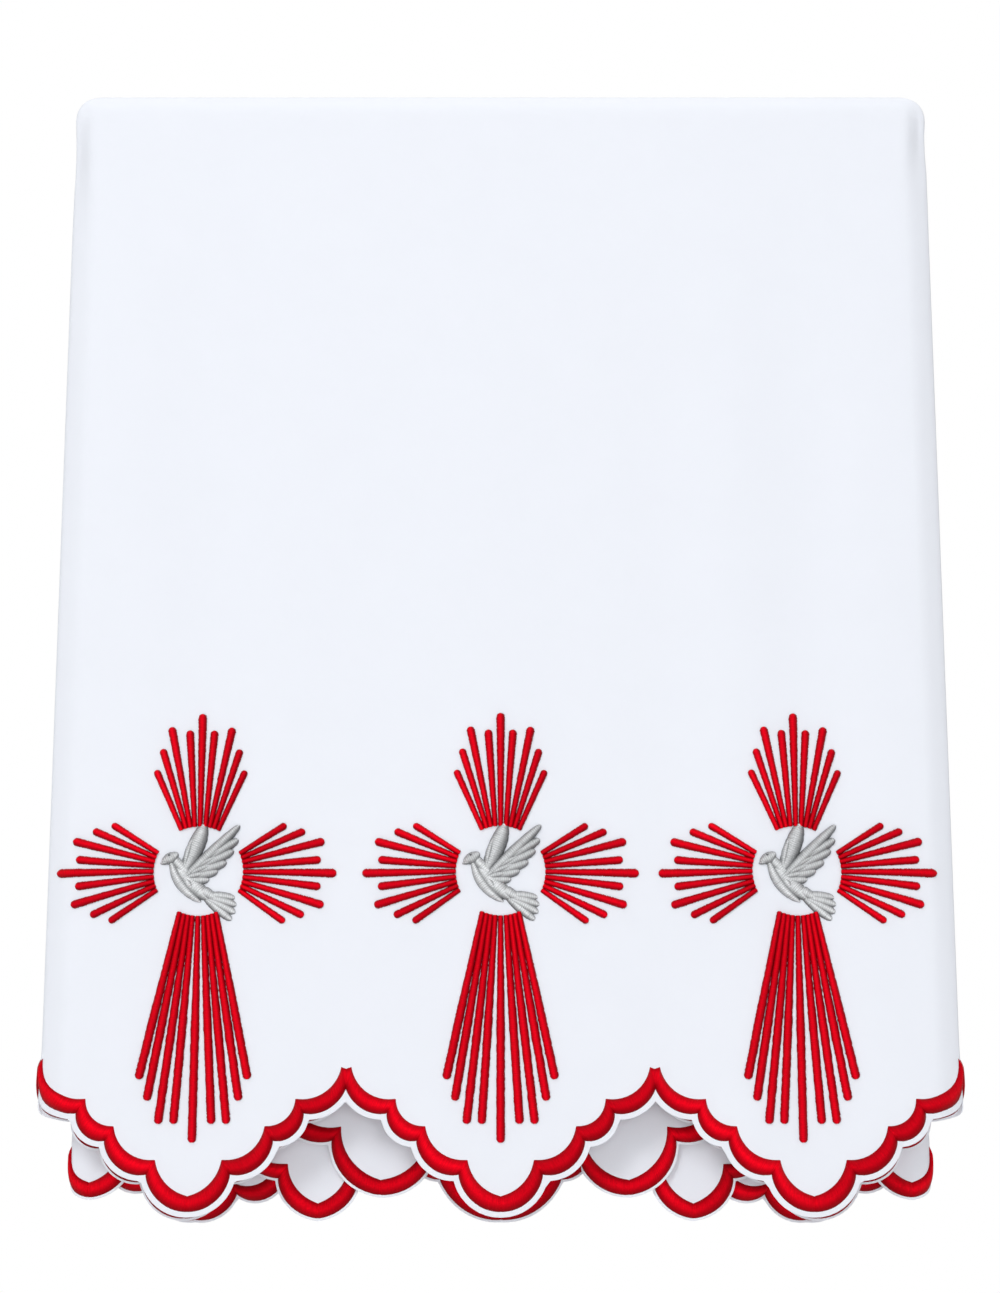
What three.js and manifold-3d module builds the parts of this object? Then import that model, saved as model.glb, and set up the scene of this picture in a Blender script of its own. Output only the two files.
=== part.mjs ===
// An altar cloth hanging in half over a rail that is not part of it.
// White cloth with a scalloped hem edged in red satin stitch, and three rayed crosses
// with a silver dove in each. Units are millimetres, +Z is up and the front faces -Y.
// The origin is under the top fold, where the cloth would bear on its rail.
import * as THREE from 'three';
import Module from 'manifold-3d';

const wasm = await Module();
wasm.setup();

// Cloth
const CLOTH_THICKNESS = 1.2;
const FRONT_HALF_WIDTH = 230.8;
const REAR_HALF_WIDTH = 216.5;
const CROWN_RADIUS = 18;
const CROWN_CENTRE_Z = -13.2;

// How far apart the folded layers hang: close together over the top, looser below it
const MIDDLE_LAYER = { tight: 1.8, loose: 4.6 };
const INNER_LAYER = { tight: 3.6, loose: 9 };
const SIDE_FOLD_REACH = { tight: 3.5, loose: 12 };
const END_FOLD_REACH = { tight: 0.9, loose: 3 };
const LOOSE_BELOW = 60;

// The side flaps are turned in behind the panel and doubled back near the middle
const END_FOLD_FROM_MIDDLE = { front: 61, rear: 36 };
const FREE_EDGE_FROM_MIDDLE = { front: 150, rear: 135 };
// The rear flap on the right is turned in a little less far than the one on the left
const RIGHT_REAR_FLAP_SHORT_BY = 5;

// Soft standing waves across the hanging panels
const WAVES = [
  { height: 0.7, length: 231, shift: 35 },
  { height: 0.2, length: 154, shift: 10 },
];
const HEM_FLARE = 1.6;

// Hem: one repeat runs from a high point down four scallops to a low point and back up
const REPEAT = 154;
const BORDER_THICKNESS = 2;
const STITCH_GAP = 0.35;
const STITCH_GAP_ROUND_FOLDS = 0.8;
const POINTS_PER_SCALLOP = 4;
const HALF_REPEAT = [
  { along: 0, z: -532.1, turn: 'high', radius: 0 },
  { along: 20.3, z: -543.9, turn: 'down', radius: 19.2 },
  { along: 35.1, z: -557.3, turn: 'down', radius: 13.5 },
  { along: 56, z: -573.7, turn: 'down', radius: 18.6 },
  { along: 77, z: -591.5, turn: 'low', radius: 20.9 },
];
const FLAP_DROP = 3.5;
const CORNER_RISE = 4.5;
const TUCKED_RISE = 45;

// Where the upper edge of the satin border turns, measured from the turn in its lower edge
const BORDER_TURNS = {
  high: { along: 0, rise: 11.6 },
  down: { along: 4.8, rise: 7.8 },
  low: { along: 0, rise: 8 },
  up: { along: -4.8, rise: 7.8 },
};

// The rear hem from the middle of the rear panel round the side fold and along the flap.
// Each row is one turn of the edge: x is its distance from the middle, on the layer named.
const REAR_HEM = [
  { layer: 'panel', x: 0, z: -596.5, turn: 'low', radius: 0 },
  { layer: 'panel', x: 31, z: -576.5, turn: 'up', radius: 34 },
  { layer: 'panel', x: 46, z: -563, turn: 'up', radius: 16 },
  { layer: 'panel', x: 58, z: -549, turn: 'up', radius: 13.5 },
  { layer: 'panel', x: 77, z: -537, turn: 'high', radius: 19.2 },
  { layer: 'panel', x: 95, z: -553, turn: 'down', radius: 19.2 },
  { layer: 'panel', x: 108, z: -572, turn: 'down', radius: 18 },
  { layer: 'panel', x: 133, z: -584, turn: 'down', radius: 17 },
  { layer: 'panel', x: 154, z: -596.5, turn: 'low', radius: 20.9 },
  { layer: 'panel', x: 176, z: -580, turn: 'up', radius: 20.9 },
  { layer: 'panel', x: 198, z: -573.5, turn: 'up', radius: 17 },
  { layer: 'side_fold', x: 216.5, z: -571, turn: 'high', radius: 19 },
  { layer: 'flap', x: 206, z: -585.2, turn: 'low', radius: 15 },
  { layer: 'flap', x: 186, z: -569, turn: 'up', radius: 21 },
  { layer: 'flap', x: 168, z: -553, turn: 'up', radius: 18.6 },
  { layer: 'flap', x: 141, z: -536, turn: 'high', radius: 24 },
  { layer: 'flap', x: 112, z: -542, turn: 'down', radius: 24 },
  { layer: 'flap', x: 85.5, z: -557.3, turn: 'down', radius: 20 },
  { layer: 'flap', x: 60.5, z: -584, turn: 'low', radius: 26 },
  { layer: 'end_fold', x: 36, z: -566, turn: 'high', radius: 24 },
  { layer: 'return', x: 72, z: -576, turn: 'down', radius: 24 },
  { layer: 'return', x: 92.5, z: -595.7, turn: 'low', radius: 20.9 },
  { layer: 'return', x: 113.2, z: -575.9, turn: 'up', radius: 20.9 },
  { layer: 'return', x: 135, z: -556, turn: 'up', radius: 22 },
];

// Crosses: rays in four fans round a ring that frames the dove
const CROSS_CENTRES_X = { left: -153.6, middle: 0, right: 150.5 };
const CROSS_CENTRE_Z = -422.4;
const RAY_WIDTH = { root: 2.7, full: 4.5 };
const RAY_WIDENS_OVER = 55;
const RAY_HEIGHT = 1;
const RAY_STEP = 26;
const RING_RADIUS = 22.6;
const ROOT_OFFSETS = [0, 2.7, 4.9, 7, 9.2];
// Tips of the middle ray and of the four rays on either side of it, from the cross's centre
const SIDE_RAYS = { reach: [69, 61.3, 63, 53, 43.4], spread: [0, 6.9, 16.3, 21.4, 24.3] };
const FANS = [
  { name: 'top', quarter: 1, reach: [81.2, 72.5, 74, 62.5, 51.5], spread: [0, 6.4, 15.7, 20, 22.9] },
  { name: 'left', quarter: 2, ...SIDE_RAYS },
  { name: 'bottom', quarter: 3, reach: [135.6, 126.4, 126.4, 115, 104.5], spread: [0, 9.5, 17.1, 23, 27.3] },
  { name: 'right', quarter: 0, ...SIDE_RAYS },
];

// Dove: each part is a leaf from a root to a tip, all joined into one piece
const DOVE_LEAVES = [
  { part: 'neck', root: [-3, -3], tip: [-16, 10], width: 7, height: 1.5 },
  { part: 'head', root: [-10.5, 9.5], tip: [-17.5, 5.5], width: 8, height: 1.5 },
  { part: 'beak', root: [-15, 6], tip: [-20, 3.8], width: 2.2, height: 1.5 },
  { part: 'breast', root: [-15.5, 6], tip: [1, -16], width: 9, height: 1.5 },
  { part: 'body', root: [-12, 3], tip: [11, -15.5], width: 12, height: 1.5 },
  { part: 'far_wing', root: [-6, 1], tip: [1.5, 21.2], width: 8.5, height: 1 },
  { part: 'far_wing', root: [-6, 1], tip: [-4, 16], width: 6.5, height: 1 },
  { part: 'near_wing', root: [-7, -3], tip: [20, 22.5], width: 9, height: 1.3 },
  { part: 'feather', root: [4, 5], tip: [20, 16], width: 6, height: 1.2 },
  { part: 'feather', root: [2, 2], tip: [17.5, 10], width: 6, height: 1.2 },
  { part: 'feather', root: [0, -1], tip: [14.5, 4.8], width: 6, height: 1.2 },
  { part: 'feather', root: [-3, -3], tip: [11, 0], width: 6, height: 1.2 },
  { part: 'feather', root: [-5, -5], tip: [6.5, -4], width: 6, height: 1.2 },
  { part: 'tail', root: [5, -12], tip: [19.2, -13.4], width: 4.5, height: 1 },
  { part: 'tail', root: [5, -12], tip: [20, -17.5], width: 4.5, height: 1 },
  { part: 'tail', root: [5, -12], tip: [19, -21.5], width: 4.5, height: 1 },
  { part: 'tail', root: [8, -12], tip: [17.5, -23.5], width: 4, height: 1 },
];

const CLOTH_WHITE = new THREE.MeshStandardMaterial({ color: 0xf1f2f7, roughness: 0.85, metalness: 0 });
const SATIN_RED = new THREE.MeshStandardMaterial({ color: 0xd80e1c, roughness: 0.42, metalness: 0 });
const SATIN_SILVER = new THREE.MeshStandardMaterial({ color: 0xc3c6c9, roughness: 0.4, metalness: 0 });

const CROWN_LENGTH = Math.PI * CROWN_RADIUS;
const clamp01 = (t) => Math.min(1, Math.max(0, t));
const smooth = (t) => clamp01(t) ** 2 * (3 - 2 * clamp01(t));
const mix = (range, share) => range.tight + (range.loose - range.tight) * share;

// Lengths along the folded section, from the middle of the panel out to a free edge
const SIDE_ARC = 27.3;
const END_ARC = 8.2;
const PANEL_END = FRONT_HALF_WIDTH - SIDE_FOLD_REACH.loose;
const FLAP_START = PANEL_END + SIDE_ARC;
const FLAP_END = FLAP_START + PANEL_END - END_FOLD_FROM_MIDDLE.front - END_FOLD_REACH.loose;
const RETURN_START = FLAP_END + END_ARC;
const RETURN_END = RETURN_START
  + FREE_EDGE_FROM_MIDDLE.front - END_FOLD_FROM_MIDDLE.front - END_FOLD_REACH.loose;

// Height under the crown's centre of a place v along the hang: front, over the top, rear
function dropAt(v) {
  if (v < 0) return -v;
  return Math.max(0, v - CROWN_LENGTH);
}

const heightAt = (v) => CROWN_CENTRE_Z - dropAt(v);
const frontV = (z) => z - CROWN_CENTRE_Z;
const rearV = (z) => CROWN_LENGTH + CROWN_CENTRE_Z - z;

// Half the folded width: the corners round off as the side folds flatten over the top
function halfWidthAt(v) {
  const over = clamp01((v + 14) / 44) ** 1.4;
  const base = FRONT_HALF_WIDTH + (REAR_HALF_WIDTH - FRONT_HALF_WIDTH) * over;
  return base + HEM_FLARE * smooth((dropAt(v) - 490) / 60);
}

// Distance from the middle, and depth behind the outer layer, of a place along the section
function sectionAt(u, v) {
  const side = Math.sign(u) || 1;
  const along = Math.abs(u);
  const loose = smooth(dropAt(v) / LOOSE_BELOW);
  const rear = smooth(v / CROWN_LENGTH);
  const inner = mix(INNER_LAYER, loose);
  const middle = mix(MIDDLE_LAYER, loose);
  const sideReach = mix(SIDE_FOLD_REACH, loose);
  const endReach = mix(END_FOLD_REACH, loose);
  const panel = halfWidthAt(v) - sideReach;
  const short = side > 0 ? RIGHT_REAR_FLAP_SHORT_BY * rear : 0;
  const endFold = short + END_FOLD_FROM_MIDDLE.front
    + (END_FOLD_FROM_MIDDLE.rear - END_FOLD_FROM_MIDDLE.front) * rear;
  const freeEdge = short + FREE_EDGE_FROM_MIDDLE.front
    + (FREE_EDGE_FROM_MIDDLE.rear - FREE_EDGE_FROM_MIDDLE.front) * rear;
  const flapEnd = endFold + endReach;
  if (along <= PANEL_END) return { x: side * panel * along / PANEL_END, depth: 0 };
  if (along < FLAP_START) {
    const turn = Math.PI * (along - PANEL_END) / SIDE_ARC;
    return { x: side * (panel + sideReach * Math.sin(turn)), depth: inner * (1 - Math.cos(turn)) / 2 };
  }
  if (along <= FLAP_END) {
    const share = (along - FLAP_START) / (FLAP_END - FLAP_START);
    return { x: side * (panel + (flapEnd - panel) * share), depth: inner };
  }
  if (along < RETURN_START) {
    const turn = Math.PI * (along - FLAP_END) / END_ARC;
    const depth = middle + (inner - middle) * (1 + Math.cos(turn)) / 2;
    return { x: side * (flapEnd - endReach * Math.sin(turn)), depth };
  }
  const share = (along - RETURN_START) / (RETURN_END - RETURN_START);
  return { x: side * (flapEnd + (freeEdge - flapEnd) * share), depth: middle };
}

function waveAt(x, v) {
  const grown = smooth((dropAt(v) - 40) / 420);
  const sum = WAVES.reduce((all, w) => all + w.height * Math.sin(2 * Math.PI * (x + w.shift) / w.length), 0);
  return grown * sum;
}

// A place on the middle surface of the cloth
function surfaceAt(u, v) {
  const { x, depth } = sectionAt(u, v);
  const radius = CROWN_RADIUS - CLOTH_THICKNESS / 2 - depth;
  const turn = clamp01(v / CROWN_LENGTH) * Math.PI;
  const y = -radius * Math.cos(turn) + waveAt(x, v);
  return new THREE.Vector3(x, y, heightAt(v) + radius * Math.sin(turn));
}

function normalAt(u, v) {
  const step = 0.01;
  const across = surfaceAt(u + step, v).sub(surfaceAt(u - step, v));
  const down = surfaceAt(u, v + step).sub(surfaceAt(u, v - step));
  return across.cross(down).normalize();
}

// Moves a flat point off the middle surface, outwards when the distance is positive
const offSurface = (u, v, distance) => surfaceAt(u, v).addScaledVector(normalAt(u, v), distance);

// A flat mesh in the cloth's own coordinates, whose points are shared by position
class FlatMesh {
  constructor() {
    this.points = [];
    this.triangles = [];
    this.known = new Map();
  }

  index(point) {
    const key = `${point.x.toFixed(4)},${point.y.toFixed(4)}`;
    if (!this.known.has(key)) {
      this.known.set(key, this.points.length);
      this.points.push(point);
    }
    return this.known.get(key);
  }

  triangle(a, b, c) {
    const area = (b.x - a.x) * (c.y - a.y) - (c.x - a.x) * (b.y - a.y);
    const corners = area > 0 ? [a, b, c] : [a, c, b];
    this.triangles.push(corners.map((corner) => this.index(corner)));
  }

  polygon(corners) {
    for (const [a, b, c] of THREE.ShapeUtils.triangulateShape(corners, [])) {
      this.triangle(corners[a], corners[b], corners[c]);
    }
  }

  // Closes the flat mesh into a solid that lies between two distances from the cloth
  solid(low, high) {
    const lower = this.points.map((p) => offSurface(p.x, p.y, low));
    const upper = this.points.map((p) => offSurface(p.x, p.y, high));
    const count = this.points.length;
    const faces = [];
    const edges = new Map();
    for (const [a, b, c] of this.triangles) {
      faces.push([a + count, b + count, c + count], [a, c, b]);
      for (const [from, to] of [[a, b], [b, c], [c, a]]) {
        const back = `${to},${from}`;
        if (edges.has(back)) edges.delete(back);
        else edges.set(`${from},${to}`, [from, to]);
      }
    }
    for (const [from, to] of edges.values()) {
      faces.push([from, to, to + count], [from, to + count, from + count]);
    }
    return closedGeometry([...lower, ...upper], faces);
  }
}

// A geometry from points and faces, turned so that its faces point outwards
function closedGeometry(points, faces) {
  let volume = 0;
  for (const [a, b, c] of faces) {
    volume += points[a].dot(new THREE.Vector3().crossVectors(points[b], points[c]));
  }
  const index = faces.flatMap(([a, b, c]) => (volume > 0 ? [a, b, c] : [a, c, b]));
  const geometry = new THREE.BufferGeometry();
  geometry.setAttribute('position', new THREE.Float32BufferAttribute(points.flatMap((p) => p.toArray()), 3));
  geometry.setIndex(index);
  geometry.computeVertexNormals();
  return geometry;
}

// Points of a scallop that hangs between two turns of the hem, without its first point
function scallop(from, to, radius) {
  const chord = new THREE.Vector2().subVectors(to, from);
  const size = Math.max(radius, chord.length() / 2 + 0.01);
  const rise = Math.sqrt(size ** 2 - chord.lengthSq() / 4);
  const centre = new THREE.Vector2(-chord.y, chord.x).setLength(rise)
    .add(from).addScaledVector(chord, 0.5);
  const start = Math.atan2(from.y - centre.y, from.x - centre.x);
  let sweep = Math.atan2(to.y - centre.y, to.x - centre.x) - start;
  if (sweep < 0) sweep += 2 * Math.PI;
  return Array.from({ length: POINTS_PER_SCALLOP }, (_, i) => {
    const angle = start + sweep * (i + 1) / POINTS_PER_SCALLOP;
    return new THREE.Vector2(centre.x + size * Math.cos(angle), centre.y + size * Math.sin(angle));
  });
}

// The two edges of a satin border from its turns, given from the middle out to a free edge
function borderEdges(turns) {
  const mirrored = turns.slice(1).reverse().map((row, i, rows) => ({
    ...row,
    along: -row.along,
    turn: { up: 'down', down: 'up' }[row.turn] ?? row.turn,
    radius: i ? rows[i - 1].radius : 0,
  }));
  const middle = { ...turns[0], radius: turns[1].radius };
  const rows = [...mirrored, middle, ...turns.slice(1)];
  const last = rows.length - 1;
  const outer = rows.map((row) => new THREE.Vector2(row.along, row.z));
  const inner = rows.map((row, i) => {
    const turn = BORDER_TURNS[row.turn];
    const along = i === 0 || i === last ? 0 : turn.along;
    return new THREE.Vector2(row.along + along, row.z + turn.rise);
  });
  const trace = (line) => line.slice(1).reduce(
    (all, to, i) => [...all, ...scallop(line[i], to, rows[i + 1].radius)],
    [line[0]],
  );
  return { outer: forward(trace(outer)), inner: forward(trace(inner)) };
}

// Keeps a line running one way along the hem
function forward(line) {
  const kept = [line[0]];
  for (const point of line.slice(1)) {
    const before = kept[kept.length - 1];
    kept.push(new THREE.Vector2(Math.max(point.x, before.x + 0.05), point.y));
  }
  return kept;
}

const roundFold = (u) => [[PANEL_END, FLAP_START], [FLAP_END, RETURN_START]]
  .some(([from, to]) => Math.abs(u) > from - 4 && Math.abs(u) < to + 4);

// The cloth's edge: a line kept clear of the border's upper edge all along it
function lifted(line) {
  const sideways = (from, to) => new THREE.Vector2(from.y - to.y, to.x - from.x).normalize();
  const last = line.length - 1;
  return forward(line.map((point, i) => {
    const distance = roundFold(point.x) ? STITCH_GAP_ROUND_FOLDS : STITCH_GAP;
    const before = i > 0 ? sideways(line[i - 1], point) : null;
    const after = i < last ? sideways(point, line[i + 1]) : null;
    const first = before ?? after;
    const second = after ?? before;
    const normal = new THREE.Vector2().addVectors(first, second).normalize();
    const reach = distance / Math.max(0.3, normal.dot(first));
    if (i === 0 || i === last) return new THREE.Vector2(point.x, point.y + distance);
    return point.clone().addScaledVector(normal, reach);
  }));
}

// Columns of the mesh along the folded section, closer together round the folds
function columnsOf() {
  const spread = (from, to, count) => Array.from({ length: count }, (_, i) => from + (to - from) * (i + 1) / count);
  const half = [
    ...spread(0, PANEL_END, 8),
    ...spread(PANEL_END, FLAP_START, 8),
    ...spread(FLAP_START, FLAP_END, 6),
    ...spread(FLAP_END, RETURN_START, 4),
    ...spread(RETURN_START, RETURN_END, 3),
  ];
  return [...half.map((u) => -u).reverse(), 0, ...half];
}

const COLUMNS = columnsOf();

// Cuts a hem line at the columns: the points from each column to the next, both included
function cutAtColumns(line) {
  const heightOn = (u) => {
    const i = Math.min(line.length - 1, Math.max(1, line.findIndex((p) => p.x >= u)));
    const a = line[i - 1];
    const b = line[i];
    return a.y + (b.y - a.y) * clamp01((u - a.x) / (b.x - a.x));
  };
  const ends = COLUMNS.map((u) => new THREE.Vector2(u, heightOn(u)));
  return ends.slice(1).map((end, i) => {
    const start = ends[i];
    const inside = line.filter((p) => p.x > start.x + 0.02 && p.x < end.x - 0.02);
    return [start, ...inside, end];
  });
}

// Where a row of the rear table lies along the section
function alongRear({ layer, x }) {
  const panel = REAR_HALF_WIDTH - SIDE_FOLD_REACH.loose;
  const flapEnd = END_FOLD_FROM_MIDDLE.rear + END_FOLD_REACH.loose;
  if (layer === 'panel') return x * PANEL_END / panel;
  if (layer === 'side_fold') return PANEL_END + SIDE_ARC / 2;
  if (layer === 'end_fold') return FLAP_END + END_ARC / 2;
  if (layer === 'flap') return FLAP_START + (FLAP_END - FLAP_START) * (panel - x) / (panel - flapEnd);
  const share = (x - flapEnd) / (FREE_EDGE_FROM_MIDDLE.rear - flapEnd);
  return RETURN_START + (RETURN_END - RETURN_START) * share;
}

// The front hem repeats all along the section: lower on the flaps, drawn up where tucked in
function frontTurns() {
  const rows = [];
  const down = HALF_REPEAT;
  const up = down.slice(0, -1).reverse().map((row, i) => ({
    along: REPEAT / 2 - row.along,
    z: row.z,
    turn: row.turn === 'high' ? 'high' : 'up',
    radius: down[down.length - 1 - i].radius,
  }));
  const low = { along: 0, z: down[down.length - 1].z, turn: 'low', radius: 20.9 };
  rows.push({ ...low, radius: 0 });
  for (let start = 0; start < RETURN_END; start += REPEAT) {
    rows.push(...up.map((row) => ({ ...row, along: row.along + start })));
    rows.push(...down.slice(1).map((row) => ({ ...row, along: row.along + start + REPEAT / 2 })));
  }
  const hung = rows.filter((row) => row.along < RETURN_END - 4).map((row) => ({
    ...row,
    z: row.z - FLAP_DROP * smooth((row.along - PANEL_END - SIDE_ARC / 2) / 25)
      + CORNER_RISE * Math.exp(-(((row.along - PANEL_END - SIDE_ARC / 2) / 10) ** 2))
      + TUCKED_RISE * smooth((row.along - FLAP_END + 8) / 50),
  }));
  const before = hung[hung.length - 1];
  return [...hung, { along: RETURN_END, z: before.z + 3, turn: 'up', radius: 30 }];
}

function rearTurns() {
  return REAR_HEM.map((row) => ({ ...row, along: alongRear(row) }));
}

function clothGeometry(frontInner, rearInner) {
  const mesh = new FlatMesh();
  const crown = Array.from({ length: 8 }, (_, i) => CROWN_LENGTH * i / 7);
  const drops = [487, 300, 110, 45, 14];
  const rows = [...drops.map((d) => -d), ...crown, ...drops.slice().reverse().map((d) => CROWN_LENGTH + d)];
  for (let j = 0; j + 1 < rows.length; j += 1) {
    for (let i = 0; i + 1 < COLUMNS.length; i += 1) {
      const [a, b, c, d] = [[i, j], [i + 1, j], [i + 1, j + 1], [i, j + 1]]
        .map(([column, row]) => new THREE.Vector2(COLUMNS[column], rows[row]));
      mesh.triangle(a, b, c);
      mesh.triangle(a, c, d);
    }
  }
  const hems = [
    { line: frontInner, toV: frontV, top: rows[0] },
    { line: rearInner, toV: rearV, top: rows[rows.length - 1] },
  ];
  for (const { line, toV, top } of hems) {
    cutAtColumns(lifted(line)).forEach((cut, i) => {
      const corners = cut.map((p) => new THREE.Vector2(p.x, toV(p.y)));
      corners.push(new THREE.Vector2(COLUMNS[i + 1], top), new THREE.Vector2(COLUMNS[i], top));
      mesh.polygon(corners);
    });
  }
  return mesh.solid(-CLOTH_THICKNESS / 2, CLOTH_THICKNESS / 2);
}

function borderGeometry({ outer, inner }, toV) {
  const mesh = new FlatMesh();
  const below = cutAtColumns(outer);
  const above = cutAtColumns(inner);
  below.forEach((line, i) => {
    const corners = [...line, ...above[i].slice().reverse()];
    mesh.polygon(corners.map((p) => new THREE.Vector2(p.x, toV(p.y))));
  });
  return mesh.solid(-BORDER_THICKNESS / 2, BORDER_THICKNESS / 2);
}

// The place along the section and the hang for a point on the front panel
const onFront = (x, z) => {
  const v = frontV(z);
  const panel = sectionAt(PANEL_END, v).x;
  return new THREE.Vector2(x * PANEL_END / panel, v);
};

// One fan of nine rays, fused at their roots: each ray is a strip that shares its sides with
// its neighbours until the gap between them opens
function fanGeometry(centreX, { quarter, reach, spread }) {
  const rays = [-4, -3, -2, -1, 0, 1, 2, 3, 4].map((i) => {
    const side = Math.sign(i);
    const lateral = side * ROOT_OFFSETS[Math.abs(i)];
    const root = new THREE.Vector2(Math.sqrt(RING_RADIUS ** 2 - lateral ** 2), lateral);
    const tip = new THREE.Vector2(reach[Math.abs(i)] - RAY_WIDTH.full / 2, side * spread[Math.abs(i)]);
    const line = new THREE.Vector2().subVectors(tip, root);
    const length = line.length();
    return { root, line: line.normalize(), length };
  });
  const left = (line) => new THREE.Vector2(-line.y, line.x);
  const widening = (RAY_WIDTH.full - RAY_WIDTH.root) / 2 / RAY_WIDENS_OVER;
  const halfAt = (distance) => RAY_WIDTH.root / 2 + widening * Math.min(distance, RAY_WIDENS_OVER);
  // Where a ray's side leaves the bisector with the next one
  const joint = (a, b) => {
    const bisector = new THREE.Vector2().addVectors(a.line, b.line).normalize();
    const start = new THREE.Vector2().addVectors(a.root, b.root).multiplyScalar(0.5);
    const normal = left(a.line);
    const from = new THREE.Vector2().subVectors(start, a.root);
    const opening = bisector.dot(normal) - widening;
    const distance = Math.max(0.5, (RAY_WIDTH.root / 2 - from.dot(normal)) / opening);
    return { start, crotch: start.clone().addScaledVector(bisector, distance) };
  };
  const joints = rays.slice(1).map((ray, i) => joint(rays[i], ray));
  const boundary = (ray, side, shared) => {
    const edge = (distance) => ray.root.clone()
      .addScaledVector(ray.line, distance).addScaledVector(left(ray.line), side * halfAt(distance));
    const start = shared ? [shared.start, shared.crotch] : [edge(0)];
    const reached = start[start.length - 1].clone().sub(ray.root).dot(ray.line);
    const rest = ray.length - reached;
    const count = Math.max(1, Math.round(rest / RAY_STEP));
    return [...start, ...Array.from({ length: count }, (_, i) => edge(reached + rest * (i + 1) / count))];
  };
  const mesh = new FlatMesh();
  const turn = quarter * Math.PI / 2;
  const place = (p) => {
    const turned = p.clone().rotateAround(new THREE.Vector2(), turn);
    return onFront(centreX + turned.x, CROSS_CENTRE_Z + turned.y);
  };
  rays.forEach((ray, i) => {
    const right = boundary(ray, -1, joints[i - 1]);
    const leftSide = boundary(ray, 1, joints[i]);
    const end = ray.root.clone().addScaledVector(ray.line, ray.length);
    const half = halfAt(ray.length);
    const round = [-1, 0, 1].map((k) => end.clone()
      .addScaledVector(ray.line, half * Math.cos(k * Math.PI / 4))
      .addScaledVector(left(ray.line), half * Math.sin(k * Math.PI / 4)));
    mesh.polygon([...right, ...round, ...leftSide.reverse()].map(place));
  });
  const base = CLOTH_THICKNESS / 2 + STITCH_GAP;
  return mesh.solid(base, base + RAY_HEIGHT);
}

// A leaf shape standing on the plane of the dove
function leafSolid({ root, tip, width, height }) {
  const from = new THREE.Vector2(...root);
  const to = new THREE.Vector2(...tip);
  const across = new THREE.Vector2(from.y - to.y, to.x - from.x).setLength(width);
  const middle = from.clone().lerp(to, 0.55);
  const bend = (side) => middle.clone().addScaledVector(across, side);
  const shape = new THREE.Shape();
  shape.moveTo(from.x, from.y);
  shape.quadraticCurveTo(bend(1).x, bend(1).y, to.x, to.y);
  shape.quadraticCurveTo(bend(-1).x, bend(-1).y, from.x, from.y);
  const geometry = new THREE.ExtrudeGeometry(shape, { depth: height, bevelEnabled: false, curveSegments: 3 });
  return toManifold(geometry);
}

// Shares the points of a geometry by position, then makes a solid of it
function toManifold(geometry) {
  const position = geometry.getAttribute('position');
  const known = new Map();
  const vertices = [];
  const triangles = [];
  for (let i = 0; i < position.count; i += 1) {
    const point = new THREE.Vector3().fromBufferAttribute(position, i);
    const key = point.toArray().map((value) => value.toFixed(4)).join();
    if (!known.has(key)) {
      known.set(key, vertices.length / 3);
      vertices.push(...point.toArray());
    }
    triangles.push(known.get(key));
  }
  return new wasm.Manifold(new wasm.Mesh({
    numProp: 3,
    vertProperties: new Float32Array(vertices),
    triVerts: new Uint32Array(triangles),
  }));
}

function doveGeometry(centreX) {
  const bird = DOVE_LEAVES.map(leafSolid).reduce((all, leaf) => all.add(leaf)).getMesh();
  const base = CLOTH_THICKNESS / 2 + STITCH_GAP + 0.1;
  const points = [];
  for (let i = 0; i < bird.numVert; i += 1) {
    const [x, z, height] = bird.vertProperties.slice(i * bird.numProp, i * bird.numProp + 3);
    const flat = onFront(centreX + x, CROSS_CENTRE_Z + z);
    points.push(offSurface(flat.x, flat.y, base + height));
  }
  const faces = [];
  for (let i = 0; i < bird.numTri; i += 1) faces.push([...bird.triVerts.slice(i * 3, i * 3 + 3)]);
  return closedGeometry(points, faces);
}

function named(name, geometry, material) {
  const mesh = new THREE.Mesh(geometry, material);
  mesh.name = name;
  return mesh;
}

const frontEdges = borderEdges(frontTurns());
const rearEdges = borderEdges(rearTurns());

const altarCloth = new THREE.Group();
altarCloth.add(named('cloth', clothGeometry(frontEdges.inner, rearEdges.inner), CLOTH_WHITE));
altarCloth.add(named('front_hem_border', borderGeometry(frontEdges, frontV), SATIN_RED));
altarCloth.add(named('rear_hem_border', borderGeometry(rearEdges, rearV), SATIN_RED));
Object.entries(CROSS_CENTRES_X).forEach(([place, centreX]) => {
  for (const fan of FANS) {
    altarCloth.add(named(`${place}_cross_${fan.name}_rays`, fanGeometry(centreX, fan), SATIN_RED));
  }
  altarCloth.add(named(`${place}_dove`, doveGeometry(centreX), SATIN_SILVER));
});

export default altarCloth;
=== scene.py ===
"""An altar cloth that hangs in half, its sides folded in, with satin-stitched hems and crosses."""

import logging
import math
from collections.abc import Callable
from dataclasses import dataclass
from enum import Enum

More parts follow.
